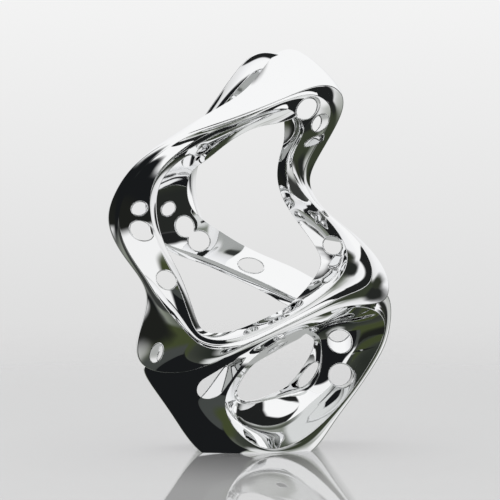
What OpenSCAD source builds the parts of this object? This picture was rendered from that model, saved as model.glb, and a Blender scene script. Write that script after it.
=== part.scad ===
// Polished metal knot sculpture: one closed ribbon loop standing on a spiral ring,
// with an inner ribbon and a rear leg.
// It is cast and formed in sections that butt at weld seams on locating dowels.
// Every member is a loft through rails, the edges where its polished faces meet.

/* [Sculpture] */
// Height from the resting face to the top of the crown
sculpture_h = 505; // [380:5:800]
// Width across the left lobe and the right shoulder
sculpture_w = 356; // [270:2:560]
// Depth from the front creases to the back of the rear leg
sculpture_d = 162; // [130:1:260]

/* [Edges] */
// Width of the small flat polished along every crisp edge
edge_w = 1.6; // [0.8:0.1:2.4]

/* [Holes] */
// Upper hole of the left lobe, across
lobe_upper_hole_w = 22; // [14:0.5:26]
// Lower hole of the left lobe, across
lobe_lower_hole_w = 33; // [20:0.5:36]
// Hole of the left column, across
column_hole_w = 28; // [16:0.5:32]
// Hole of the lower elbow, across
elbow_hole_w = 27; // [16:0.5:30]
// Large hole of the crown, along its long way
crown_large_hole_w = 35; // [20:0.5:38]
// Small hole of the crown, along its long way
crown_small_hole_w = 27; // [14:0.5:30]
// Flat slot under the crown, across
crown_slot_w = 22; // [10:0.5:26]
// Holes in the inner face of the S strut, across
strut_hole_w = 25; // [12:0.5:28]
// Holes in the upper face of the crossbar, across
bar_hole_w = 20; // [10:0.5:24]
// First hole of the inner lobe, across
inner_small_hole_w = 20; // [10:0.5:24]
// Second and third holes of the inner lobe, across
inner_large_hole_w = 28; // [16:0.5:30]
// Hole of the back band, across
band_hole_w = 34; // [18:0.5:36]
// Holes in the inner face of the arm, across
arm_hole_w = 19; // [8:0.5:22]
// Round holes of the ring's right wall
ring_hole_d = 31; // [18:0.5:34]
// Drop-shaped hole of the ring's left wall: its round end, across
drop_round_w = 27; // [18:0.5:27.5]
// Drop-shaped hole of the ring's left wall: its narrow end, across
drop_tip_w = 5; // [3:0.5:8]
// Drop-shaped hole of the ring's left wall: from end middle to end middle
drop_pitch = 46; // [36:1:48]
// Slot behind the ring's throat, along its long way
throat_slot_w = 40; // [22:0.5:42]
// Slot in the ring's top, across
ring_top_slot_w = 28; // [14:0.5:34]

/* [Dowels] */
// Diameter of a locating dowel
dowel_d = 4; // [3:0.5:5]
// Length of a locating dowel
dowel_len = 18; // [12:1:24]
// Radial clearance of a dowel in its bore
dowel_clear = 0.1; // [0.05:0.05:0.2]

/* [Foot fixing] */
// Diameter of the plate that closes the foot
foot_plate_d = 58; // [50:1:64]
// Thickness of the foot plate
foot_plate_t = 4; // [3:0.5:6]
// Thickness of the soft pad that the plate hides behind
foot_pad_t = 2; // [1:0.5:3]
// Radial clearance round the plate and the pad
plate_clear = 0.2; // [0.1:0.05:0.5]
// Outer diameter of the threaded bush
bush_d = 18; // [15:0.5:22]
// Length of the threaded bush
bush_len = 28; // [22:1:34]
// Outer diameter of the bush's collar, held between plate and foot
collar_d = 27; // [25:0.5:30]
// Thickness of the bush's collar
collar_t = 3; // [2:0.5:4]
// Thread bore of the bush, for a plinth bolt
thread_d = 8.5; // [6.8:0.1:10.2]
// Distance of a screw's middle from the plate's edge
screw_inset = 7; // [6:0.5:8]
// Shank diameter of a plate screw
screw_d = 4; // [3:0.5:5]
// Head diameter of a plate screw
screw_head_d = 7.5; // [6.5:0.5:8.5]
// Height of a plate screw's countersunk head
screw_head_h = 2.2; // [1.5:0.1:2.5]
// Length of a plate screw under its head
screw_len = 9; // [7:1:12]
// Across the flats of a screw's hexagon socket
socket_af = 2.5; // [2:0.5:3]
// Depth of a screw's hexagon socket
socket_depth = 1.4; // [0.8:0.1:1.6]

/* [Hidden] */

$fn = 48;
overrun = 1;
screw_count = 4;
socket_sides = 6;
socket_fn = 6;

// The drawing grid: steps to the right, to the back and up
grid_wide_steps = 282;
grid_deep_steps = 128;
grid_tall_steps = 399;
grid = [sculpture_w / grid_wide_steps, sculpture_d / grid_deep_steps, sculpture_h / grid_tall_steps];

// Rings lofted between two stations, and facets along each face of a section
rings_per_station = 4;
facets_per_face = 3;
largest_edge_share = 0.2;
drop_facets = 28;
tip_facets = 6;

// Loop stations, round from the crown's right side over the arm, down the lobe and back up the S strut.
// Each holds its outer front, ridge, inner front, inner back and outer back rail points, in grid steps.
loop_shares = [
    [[88, 4, 337], [76, -3, 331], [48, -18, 317], [29, 6, 310], [77, 34, 342]],
    [[83, 0, 359], [69, -7, 350], [45, -20, 329], [28, 6, 329], [65, 36, 376]],
    [[63, -4, 364], [51, -9, 355], [33, -18, 341], [26, 4, 337], [48, 34, 395]],
    [[31, -8, 352], [24, -11, 347], [13, -16, 339], [11, 2, 334], [21, 30, 397]],
    [[-3, -14, 339], [-7, -17, 335], [-13, -22, 330], [-14, -6, 324], [-5, 14, 362]],
    [[-38, -24, 327], [-38, -26, 325], [-39, -30, 321], [-38, -16, 312], [-41, -2, 340]],
    [[-77, -32, 314], [-73, -36, 312], [-66, -42, 306], [-61, -28, 299], [-80, -12, 316]],
    [[-117, -30, 289], [-106, -39, 288], [-89, -54, 288], [-84, -40, 282], [-113, -18, 291]],
    [[-138, -24, 259], [-127, -35, 261], [-101, -60, 266], [-95, -48, 262], [-133, -12, 258]],
    [[-146, -20, 231], [-135, -32, 233], [-102, -62, 241], [-96, -50, 238], [-140, -8, 230]],
    [[-134, -24, 201], [-127, -35, 203], [-95, -62, 211], [-89, -50, 210], [-129, -12, 200]],
    [[-114, -34, 175], [-108, -46, 177], [-80, -60, 180], [-74, -47, 181], [-109, -20, 172]],
    [[-106, -36, 151], [-92, -56, 152], [-68, -58, 151], [-63, -44, 152], [-103, -18, 146]],
    [[-117, -30, 118], [-71, -61, 128], [-59, -56, 127], [-55, -40, 129], [-109, -8, 115]],
    [[-111, -34, 90], [-57, -62, 114], [-47, -57, 118], [-47, -38, 122], [-99, -6, 99]],
    [[-65, -48, 83], [-38, -62, 107], [-30, -58, 116], [-33, -36, 121], [-63, -8, 97]],
    [[-25, -54, 102], [-13, -62, 111], [-9, -59, 121], [-15, -36, 125], [-27, -12, 112]],
    [[15, -56, 119], [17, -60, 124], [20, -58, 133], [9, -34, 135], [7, -12, 125]],
    [[55, -56, 136], [53, -59, 142], [51, -57, 150], [34, -32, 148], [37, -10, 139]],
    [[94, -50, 150], [87, -55, 159], [78, -54, 171], [54, -28, 169], [61, -2, 151]],
    [[129, -30, 150], [113, -43, 169], [90, -50, 190], [64, -22, 185], [85, 14, 158]],
    [[131, -14, 178], [114, -31, 192], [88, -44, 210], [63, -14, 198], [100, 26, 185]],
    [[106, -4, 211], [94, -20, 220], [74, -36, 231], [49, -6, 219], [83, 28, 215]],
    [[72, 0, 238], [62, -13, 246], [49, -28, 257], [32, 2, 242], [57, 28, 241]],
    [[55, 4, 266], [49, -8, 271], [38, -22, 278], [22, 6, 268], [45, 30, 266]],
    [[64, 6, 293], [55, -4, 295], [38, -19, 298], [24, 8, 292], [54, 32, 293]],
];
// How far each face of the loop swells, or is hollow where negative,
// as a share of its distance from the middle
loop_swell_shares = [-0.1, -0.15, -0.2, -0.3, 0.15];

// Inner ribbon stations, from the crown's corner behind the arm and on into the back band.
// Each holds its upper front, lower front, lower back and upper back rail points, in grid steps.
inner_shares = [
    [[52, -8, 346], [50, -10, 338], [46, 4, 337], [48, 10, 350]],
    [[26, -10, 339], [28, -8, 327], [25, 14, 328], [24, 20, 347]],
    [[-6, -12, 329], [-1, -6, 322], [-4, 14, 323], [-9, 20, 341]],
    [[-35, -20, 317], [-28, -8, 306], [-32, 12, 308], [-42, 12, 331]],
    [[-62, -33, 304], [-49, -14, 289], [-54, 6, 292], [-71, -14, 308]],
    [[-90, -44, 287], [-62, -16, 280], [-68, 2, 283], [-96, -32, 288]],
    [[-105, -48, 264], [-67, -14, 263], [-72, 1, 263], [-107, -36, 264]],
    [[-108, -47, 240], [-64, -10, 245], [-68, 4, 242], [-108, -35, 238]],
    [[-103, -43, 219], [-53, 0, 231], [-56, 13, 226], [-101, -31, 215]],
    [[-80, -32, 205], [-35, 12, 218], [-38, 25, 213], [-80, -20, 197]],
    [[-49, -14, 193], [-13, 26, 203], [-16, 38, 199], [-52, -4, 186]],
    [[-15, 0, 177], [14, 38, 189], [11, 49, 184], [-21, 10, 170]],
    [[22, 8, 160], [44, 38, 177], [40, 49, 172], [13, 16, 154]],
    [[57, -4, 146], [71, 22, 164], [66, 34, 158], [46, 4, 138]],
    [[89, -26, 162], [97, -18, 176], [93, -10, 170], [83, -16, 157]],
];
inner_swell_shares = [-0.1, -0.1, -0.2, -0.1];

// Rear leg stations, from the crown down behind the arm to the inner ribbon.
// Each holds its left front, right front, right back and left back rail points, in grid steps.
leg_shares = [
    [[45, 24, 387], [47, 12, 372], [50, 12, 364], [48, 24, 379]],
    [[7, 30, 397], [8, 24, 381], [21, 36, 360], [9, 50, 391]],
    [[-16, 30, 380], [-9, 24, 368], [7, 42, 341], [-12, 56, 374]],
    [[-36, 34, 353], [-27, 28, 349], [-9, 50, 326], [-32, 62, 348]],
    [[-52, 40, 330], [-43, 34, 327], [-30, 58, 315], [-48, 66, 324]],
    [[-67, 42, 302], [-57, 36, 300], [-51, 58, 296], [-63, 66, 297]],
    [[-77, 38, 274], [-64, 32, 271], [-60, 52, 267], [-73, 62, 269]],
    [[-73, 26, 247], [-61, 22, 244], [-57, 38, 241], [-69, 46, 242]],
    [[-63, 2, 229], [-51, 4, 223], [-49, 14, 221], [-61, 13, 227]],
];
leg_swell_shares = [-0.1, -0.2, -0.1, 0.2];

// Ring stations, round from under the right shoulder down to the foot and back over the top.
// Each holds its outer front, outer back, throat back, throat front and crease rail points, in grid steps.
ring_shares = [
    [[83, -46, 150], [77, 20, 137], [50, 6, 115], [55, -4, 118], [71, -44, 131]],
    [[108, -34, 160], [95, 30, 156], [57, 10, 110], [64, -2, 112], [93, -44, 147]],
    [[134, -20, 157], [125, 40, 152], [59, 16, 105], [66, 0, 102], [123, -36, 141]],
    [[133, -20, 117], [127, 48, 109], [56, 17, 94], [67, 0, 91], [129, -30, 120]],
    [[121, -20, 90], [115, 50, 81], [48, 17, 80], [65, 0, 77], [116, -30, 92]],
    [[100, -20, 58], [95, 52, 48], [37, 15, 66], [56, 1, 60], [94, -30, 58]],
    [[76, -20, 26], [72, 50, 18], [26, 12, 58], [37, 3, 53], [67, -30, 29]],
    [[52, -22, -5], [49, 46, -11], [14, 10, 53], [16, 2, 50], [41, -32, 10]],
    [[7, -42, -9], [9, 44, -17], [0, 8, 48], [1, 0, 46], [13, -38, 4]],
    [[-47, -34, -7], [-41, 38, -13], [-11, 6, 48], [-12, -2, 45], [-12, -42, 18]],
    [[-80, -26, 35], [-70, 30, 32], [-16, 5, 52], [-19, -3, 49], [-26, -45, 37]],
    [[-100, -26, 63], [-89, 22, 59], [-17, 5, 59], [-20, -4, 58], [-29, -47, 56]],
    [[-114, -27, 90], [-99, 12, 84], [-12, 5, 69], [-14, -4, 70], [-20, -49, 75]],
    [[-71, -40, 87], [-65, 6, 87], [-1, 5, 84], [-3, -4, 86], [-6, -51, 92]],
    [[-25, -48, 105], [-23, 2, 107], [15, 5, 93], [13, -4, 95], [7, -53, 104]],
    [[15, -50, 122], [13, 2, 119], [31, 5, 103], [30, -4, 105], [26, -54, 117]],
    [[53, -50, 138], [47, 6, 132], [46, 5, 110], [46, -4, 112], [50, -54, 127]],
];
ring_swell_shares = [0.1, -0.3, -0.1, -0.35, -0.1];

// Stations where the members are parted into sections, and where a dowel crosses each seam
loop_seam_shares = [25, 4, 7, 10.25, 12.5, 15.5, 18.75, 21.75, 23.5];
inner_seam_shares = [6, 9.75];
leg_seam_shares = [4];
ring_seam_shares = [0, 3.5, 6, 9.75, 13.5];

// Holes: middle in grid steps, width, height as a share of the width, the outline's turn,
// the axis' swing about the upright, the rise of its far end from lying along the depth,
// and the reach of the bore as a share of the sculpture's depth.
lobe_hole_shares = [
    [[-114, -51, 245], lobe_upper_hole_w, 0.8, -10, 0, -5, 1],
    [[-112, -50, 223], lobe_lower_hole_w, 0.72, 25, 0, -5, 1],
];
column_hole_shares = [[[-87, -56, 175], column_hole_w, 0.8, 35, 4, -5, 1]];
elbow_hole_shares = [[[-98, -42, 101], elbow_hole_w, 0.6, -62, -14, -5, 1]];
crown_hole_shares = [
    [[53, -14, 342], crown_large_hole_w, 0.68, -42, 4, -5, 1],
    [[65, -8, 327], crown_small_hole_w, 0.7, -42, 12, -5, 1],
    [[60, -5, 309], crown_slot_w, 0.5, -10, -20, 20, 0.15],
];
shoulder_hole_shares = [
    [[73, -37, 177], strut_hole_w, 0.55, -50, -45, -10, 0.25],
    [[77, -33, 192], strut_hole_w, 0.6, -45, -45, -10, 0.25],
    [[77, -33, 207], strut_hole_w, 0.9, 40, 0, -5, 1],
];
strut_hole_shares = [[[61, -24, 233], bar_hole_w, 0.55, -50, -45, 10, 0.2]];
bar_hole_shares = [
    [[-4, -50, 125], bar_hole_w, 1, 0, 0, -70, 0.4],
    [[21, -50, 136], bar_hole_w, 0.9, 0, 15, -70, 0.4],
    [[38, -41, 148], bar_hole_w, 0.9, 0, 40, -55, 0.4],
];
inner_lobe_hole_shares = [
    [[-86, -29, 243], inner_small_hole_w, 0.8, -50, 0, -5, 1],
    [[-70, -11, 224], inner_large_hole_w, 0.85, 70, 0, -5, 1],
    [[-56, -4, 209], inner_large_hole_w, 0.95, 0, 0, -5, 1],
];
band_hole_shares = [[[-4, 23, 182], band_hole_w, 0.56, 12, 0, -5, 1]];
arm_hole_shares = [
    [[-52, -19, 302], arm_hole_w, 0.6, -35, -20, 10, 0.12],
    [[-66, -19, 290], arm_hole_w, 0.75, -35, 0, -5, 1],
];
ring_shoulder_hole_shares = [[[85, -10, 107], ring_hole_d, 1, 0, 0, 20, 1]];
ring_right_hole_shares = [
    [[86, -15, 75], ring_hole_d, 1, 0, 0, -5, 1],
    [[54, 10, 73], throat_slot_w, 0.36, -53, 0, -5, 1],
];
ring_top_hole_shares = [[[22, -8, 106], ring_top_slot_w, 0.4, -25, 0, 60, 0.2]];
// The drop-shaped hole: its round end's middle, then turn, swing, rise and reach as above
ring_left_drop_share = [[-42, -45, 68], -42, 24, -16, 1];

// One station of a member: rows go round where the member is closed,
// and run on straight past its ends where it is open
function station(rows, i, closed) =
    let (last = len(rows) - 1)
    closed ? rows[(i + 2 * len(rows)) % len(rows)]
    : i < 0 ? rows[0] * (1 - i) + rows[1] * i
    : i > last ? rows[last] * (1 + i - last) - rows[last - 1] * (i - last)
    : rows[i];

// Control rows of a smooth cubic spline that passes close to every station
function control(rows, i, closed) =
    let (here = station(rows, i, closed))
    here - (station(rows, i - 1, closed) - 2 * here + station(rows, i + 1, closed)) / 6;

// Rail points at any place t along the member, in millimetres and never below the resting face
function corners(rows, t, closed) =
    let (
        i = floor(t), u = t - i,
        mix = pow(1 - u, 3) / 6 * control(rows, i - 1, closed)
            + (3 * pow(u, 3) - 6 * pow(u, 2) + 4) / 6 * control(rows, i, closed)
            + (-3 * pow(u, 3) + 3 * pow(u, 2) + 3 * u + 1) / 6 * control(rows, i + 1, closed)
            + pow(u, 3) / 6 * control(rows, i + 2, closed)
    )
    [for (p = mix) place(p)];

function place(p) = [p[0] * grid[0], p[1] * grid[1], max(0, p[2]) * grid[2]];

function total(points, i = 0) = i == len(points) - 1 ? points[i] : points[i] + total(points, i + 1);
function middle(points) = total(points) / len(points);

// The section's outline: between two rails each face swells or is hollow,
// and a small flat breaks the edge at each rail
function section(rows, t, closed, swells) =
    let (rails = corners(rows, t, closed), centre = middle(rails), count = len(rails))
    [for (k = [0 : count - 1])
        let (
            a = rails[k], b = rails[(k + 1) % count],
            cut = min(edge_w / norm(b - a) / 2, largest_edge_share)
        )
        for (j = [0 : facets_per_face])
            let (
                s = cut + (1 - 2 * cut) * j / facets_per_face,
                flat = a * (1 - s) + b * s,
                p = centre + (flat - centre) * (1 + 4 * s * (1 - s) * swells[k])
            )
            [p[0], p[1], max(0, p[2])]];

// A length of a member between two stations, with a cap fanned about the middle of each end
module member(rows, from, to, closed, swells) {
    steps = round((to - from) * rings_per_station);
    rings = [for (i = [0 : steps]) section(rows, from + (to - from) * i / steps, closed, swells)];
    count = len(rings[0]);
    points = concat([for (ring = rings) each ring], [middle(rings[0]), middle(rings[steps])]);
    start_middle = (steps + 1) * count;
    end_middle = start_middle + 1;
    sides = [for (i = [0 : steps - 1]) for (j = [0 : count - 1])
        let (a = i * count + j, b = i * count + (j + 1) % count, c = b + count, d = a + count)
        each [[a, b, c], [a, c, d]]];
    start_cap = [for (j = [0 : count - 1]) [start_middle, (j + 1) % count, j]];
    end_cap = [for (j = [0 : count - 1]) [end_middle, steps * count + j, steps * count + (j + 1) % count]];
    polyhedron(points = points, faces = concat(sides, start_cap, end_cap), convexity = 10);
}

module loop_length(from, to) { member(loop_shares, from, to, true, loop_swell_shares); }
module inner_length(from, to) { member(inner_shares, from, to, false, inner_swell_shares); }
module leg_length(from, to) { member(leg_shares, from, to, false, leg_swell_shares); }
module ring_length(from, to) { member(ring_shares, from, to, true, ring_swell_shares); }

// Puts a bore's axis, drawn upright, through a place: outline turn, swing about the upright, then rise
module aimed(at, turn, swing, rise) {
    translate(place(at)) rotate([0, 0, swing]) rotate([rise, 0, 0]) rotate([-90, 0, 0])
        rotate([0, 0, turn]) children();
}

// Cutters for a list of holes, each a straight round or oval bore
module holes(rows) {
    for (hole = rows)
        aimed(hole[0], hole[3], hole[4], hole[5])
            scale([1, hole[2], 1])
                cylinder(d = hole[1], h = hole[6] * sculpture_d, center = true);
}

// Outline of a drop: a round end about the origin and a narrow end out along the first axis
function drop(r, tip_r, pitch) =
    let (turn = acos((r - tip_r) / pitch), side = 180 - turn)
    concat(
        [for (i = [0 : drop_facets]) let (a = turn + 2 * side * i / drop_facets) r * [cos(a), sin(a)]],
        [for (i = [0 : tip_facets])
            let (a = turn * (2 * i / tip_facets - 1)) [pitch, 0] + tip_r * [cos(a), sin(a)]]
    );

module drop_hole(row) {
    aimed(row[0], row[1], row[2], row[3])
        translate([0, 0, -row[4] * sculpture_d / 2])
            linear_extrude(height = row[4] * sculpture_d)
                polygon(drop(drop_round_w / 2, drop_tip_w / 2, drop_pitch));
}

// Turns a shape's upright axis onto a direction
module along(direction) {
    flat = norm([direction[0], direction[1]]);
    rotate([0, atan2(flat, direction[2]), atan2(direction[1], direction[0])]) children();
}

// A pin of the given size on each of a member's seams, lying along the member
module seam_pins(rows, seams, closed, d, len) {
    nudge_share = 0.2;
    for (t = seams) {
        ahead = middle(corners(rows, t + nudge_share, closed))
            - middle(corners(rows, t - nudge_share, closed));
        translate(middle(corners(rows, t, closed)))
            along(ahead) cylinder(d = d, h = len, center = true);
    }
}

module all_pins(d, len) {
    seam_pins(loop_shares, loop_seam_shares, true, d, len);
    seam_pins(inner_shares, inner_seam_shares, false, d, len);
    seam_pins(leg_shares, leg_seam_shares, false, d, len);
    seam_pins(ring_shares, ring_seam_shares, true, d, len);
}

bore_d = dowel_d + 2 * dowel_clear;
bore_len = dowel_len + dowel_d;
module loop_bores(seams) { seam_pins(loop_shares, seams, true, bore_d, bore_len); }
module inner_bores(seams) { seam_pins(inner_shares, seams, false, bore_d, bore_len); }
module leg_bores(seams) { seam_pins(leg_shares, seams, false, bore_d, bore_len); }
module ring_bores(seams) { seam_pins(ring_shares, seams, true, bore_d, bore_len); }

module crown() {
    color("white") difference() {
        loop_length(-1, 4);
        holes(crown_hole_shares);
        loop_bores([-1, 4]);
    }
}

module front_arm() {
    color("gainsboro") difference() {
        loop_length(4, 7);
        loop_bores([4, 7]);
    }
}

module left_lobe() {
    color("dimgray") difference() {
        loop_length(7, 10.25);
        holes(lobe_hole_shares);
        loop_bores([7, 10.25]);
    }
}

module left_column() {
    color("gainsboro") difference() {
        loop_length(10.25, 12.5);
        holes(column_hole_shares);
        loop_bores([10.25, 12.5]);
    }
}

module lower_elbow() {
    color("darkseagreen") difference() {
        loop_length(12.5, 15.5);
        holes(elbow_hole_shares);
        loop_bores([12.5, 15.5]);
    }
}

module crossbar() {
    color("gainsboro") difference() {
        loop_length(15.5, 18.75);
        holes(bar_hole_shares);
        loop_bores([15.5, 18.75]);
    }
}

module right_shoulder() {
    color("silver") difference() {
        loop_length(18.75, 21.75);
        holes(shoulder_hole_shares);
        loop_bores([18.75, 21.75]);
    }
}

module s_strut_lower() {
    color("gainsboro") difference() {
        loop_length(21.75, 23.5);
        holes(strut_hole_shares);
        loop_bores([21.75, 23.5]);
    }
}

module s_strut_upper() {
    color("silver") difference() {
        loop_length(23.5, 25);
        loop_bores([23.5, 25]);
    }
}

module inner_arm() {
    color("silver") difference() {
        inner_length(0, 6);
        loop_length(0, 8);
        holes(arm_hole_shares);
        inner_bores([6]);
    }
}

module inner_lobe() {
    color("lightgray") difference() {
        inner_length(6, 9.75);
        loop_length(7, 10);
        holes(inner_lobe_hole_shares);
        inner_bores([6, 9.75]);
    }
}

module back_band() {
    color("white") difference() {
        inner_length(9.75, 14);
        loop_length(18, 21);
        holes(band_hole_shares);
        inner_bores([9.75]);
    }
}

module rear_leg_upper() {
    color("white") difference() {
        leg_length(0, 4);
        loop_length(1, 4);
        leg_bores([4]);
    }
}

module rear_leg_lower() {
    color("silver") difference() {
        leg_length(4, 8);
        inner_length(7, 9);
        leg_bores([4]);
    }
}

module ring_shoulder() {
    color("dimgray") difference() {
        ring_length(0, 3.5);
        loop_length(18, 21);
        holes(ring_shoulder_hole_shares);
        ring_bores([0, 3.5]);
    }
}

module ring_right() {
    color("gray") difference() {
        ring_length(3.5, 6);
        holes(ring_right_hole_shares);
        ring_bores([3.5, 6]);
    }
}

module ring_foot() {
    color("gainsboro") difference() {
        ring_length(6, 9.75);
        ring_bores([6, 9.75]);
        foot_recess();
    }
}

module ring_left() {
    color("dimgray") difference() {
        ring_length(9.75, 13.5);
        loop_length(13, 17);
        drop_hole(ring_left_drop_share);
        ring_bores([9.75, 13.5]);
    }
}

module ring_top() {
    color("silver") difference() {
        ring_length(13.5, 17);
        loop_length(15, 20);
        holes(ring_top_hole_shares);
        ring_bores([13.5, 17]);
    }
}

module locating_dowels() {
    color("slategray") all_pins(dowel_d, dowel_len);
}

plate_top = foot_pad_t + foot_plate_t;
plate_r = foot_plate_d / 2;
bush_hole_d = bush_d + 2 * plate_clear;
screw_hole_d = screw_d + 2 * plate_clear;

module at_screws() {
    for (i = [0 : screw_count - 1])
        rotate(360 / screw_count * (i + 1 / 2)) translate([plate_r - screw_inset, 0, 0]) children();
}

// Room cut in the foot for the pad, the plate, the bush with its collar and the screws
module foot_recess() {
    translate([0, 0, -overrun])
        cylinder(r = plate_r + plate_clear, h = plate_top + overrun);
    cylinder(d = collar_d + 2 * plate_clear, h = plate_top + collar_t);
    cylinder(d = bush_hole_d, h = bush_len + plate_clear);
    at_screws()
        cylinder(d = screw_d + 2 * dowel_clear, h = foot_pad_t + screw_head_h + screw_len + plate_clear);
}

module foot_plate() {
    color("darkgray") difference() {
        translate([0, 0, foot_pad_t]) cylinder(r = plate_r, h = foot_plate_t);
        translate([0, 0, -overrun]) cylinder(d = bush_hole_d, h = plate_top + 2 * overrun);
        at_screws() {
            cylinder(d = screw_hole_d, h = plate_top + overrun);
            translate([0, 0, foot_pad_t])
                cylinder(d1 = screw_head_d + 2 * plate_clear, d2 = screw_hole_d, h = screw_head_h);
        }
    }
}

module plate_screws() {
    color("slategray") at_screws() difference() {
        translate([0, 0, foot_pad_t]) union() {
            cylinder(d1 = screw_head_d, d2 = screw_d, h = screw_head_h);
            cylinder(d = screw_d, h = screw_head_h + screw_len);
        }
        cylinder(d = socket_af / cos(180 / socket_sides), h = foot_pad_t + socket_depth, $fn = socket_fn);
    }
}

module plinth_bush() {
    color("goldenrod") difference() {
        union() {
            cylinder(d = bush_d, h = bush_len);
            translate([0, 0, plate_top]) cylinder(d = collar_d, h = collar_t);
        }
        translate([0, 0, -overrun]) cylinder(d = thread_d, h = bush_len + 2 * overrun);
    }
}

module foot_pad() {
    color("black") difference() {
        cylinder(r = plate_r, h = foot_pad_t);
        translate([0, 0, -overrun]) cylinder(d = bush_hole_d, h = foot_pad_t + 2 * overrun);
        at_screws() translate([0, 0, -overrun])
            cylinder(d = screw_head_d + 2 * plate_clear, h = foot_pad_t + 2 * overrun);
    }
}

crown();
front_arm();
left_lobe();
left_column();
lower_elbow();
crossbar();
right_shoulder();
s_strut_lower();
s_strut_upper();
inner_arm();
inner_lobe();
back_band();
rear_leg_upper();
rear_leg_lower();
ring_shoulder();
ring_right();
ring_foot();
ring_left();
ring_top();
locating_dowels();
foot_plate();
plate_screws();
plinth_bush();
foot_pad();
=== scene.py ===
"""Polished metal knot sculpture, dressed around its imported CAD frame.

Every member is lofted through its CAD node's rails, finer and with rounded edges, bored with the
same holes, and finished in mirror-polished steel. Three places differ from the nodes. The inner
front edge of crown and arm and the outer front corner between elbow and ring do so by a few
millimetres. The foot's rails run on under the ground and are cut off flat, so low at its back it
lies up to 20 mm further forwards.
"""
from __future__ import annotations

import logging
import math
from dataclasses import dataclass, field
from enum import Enum
from typing import Sequence

import bmesh
import bpy
import numpy as np
from mathutils import Matrix, Vector


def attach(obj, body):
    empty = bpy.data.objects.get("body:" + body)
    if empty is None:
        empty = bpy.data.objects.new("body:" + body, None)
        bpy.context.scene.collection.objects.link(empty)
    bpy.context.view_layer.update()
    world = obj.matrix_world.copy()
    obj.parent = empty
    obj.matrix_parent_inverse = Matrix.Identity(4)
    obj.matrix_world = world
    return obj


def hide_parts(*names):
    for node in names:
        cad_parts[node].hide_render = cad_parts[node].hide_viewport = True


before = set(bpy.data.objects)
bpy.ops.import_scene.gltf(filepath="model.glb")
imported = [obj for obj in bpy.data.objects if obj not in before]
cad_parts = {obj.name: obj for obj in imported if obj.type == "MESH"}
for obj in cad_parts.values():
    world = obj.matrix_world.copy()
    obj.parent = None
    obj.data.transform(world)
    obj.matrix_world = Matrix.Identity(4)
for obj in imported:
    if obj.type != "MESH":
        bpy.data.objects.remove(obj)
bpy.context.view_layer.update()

LOG = logging.getLogger("knot_sculpture")
BODY = "root"
MM = 0.001
# Least length that a vector is divided by
TINY = 1e-12
# Width, depth and height of the sculpture, and the drawing grid that its rails are given on
SCULPTURE = np.array([356.0, 162.0, 505.0]) * MM
GRID = SCULPTURE / np.array([282.0, 128.0, 399.0])
EDGE_WIDTH = 1.6 * MM
LARGEST_EDGE_SHARE = 0.2
RINGS_PER_STATION = 16
POINTS_PER_FACE = 11
POINTS_PER_EDGE = 2
# Stations added past each end of an open member, for the spline to lean on
SPARE_STATIONS = 4
# Way along a member, in stations, over which its slope is taken
SLOPE_STEP = 0.02
BORE_SIDES = 96
DROP_SIDES = (64, 16)
PIN_SIDES = 24
# Way to each side of a seam, in stations, over which a dowel's direction is taken
PIN_LEAN = 0.2
DISC_SIDES = 72
RIM_RADIUS = 0.8 * MM
RIM_STEP = 1.0 * MM
RIM_SIDES = 12
RIM_SMOOTHINGS = 2
FEWEST_RIM_STEPS = 16
# A closed path of no more points than this is a sliver, not the rim of a hole
LARGEST_SLIVER = 8
SHARP_ANGLE = math.radians(35)
# Slots of the polished faces, of seams and recesses, and of the holes' walls
FACE_SLOT, BORE_SLOT, HOLE_SLOT = SLOTS = (0, 1, 2)


def placed(points: np.ndarray) -> np.ndarray:
    """Grid steps to metres.

    Args:
        points: Places in grid steps, in the last axis.

    Returns:
        The places in metres.
    """
    return np.array(points, float) * GRID


def unit(vectors: np.ndarray) -> np.ndarray:
    """Vectors scaled to a length of one.

    Args:
        vectors: Vectors in the last axis.

    Returns:
        Unit vectors of the same shape.
    """
    length = np.linalg.norm(vectors, axis=-1, keepdims=True)
    return vectors / np.maximum(length, TINY)


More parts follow.
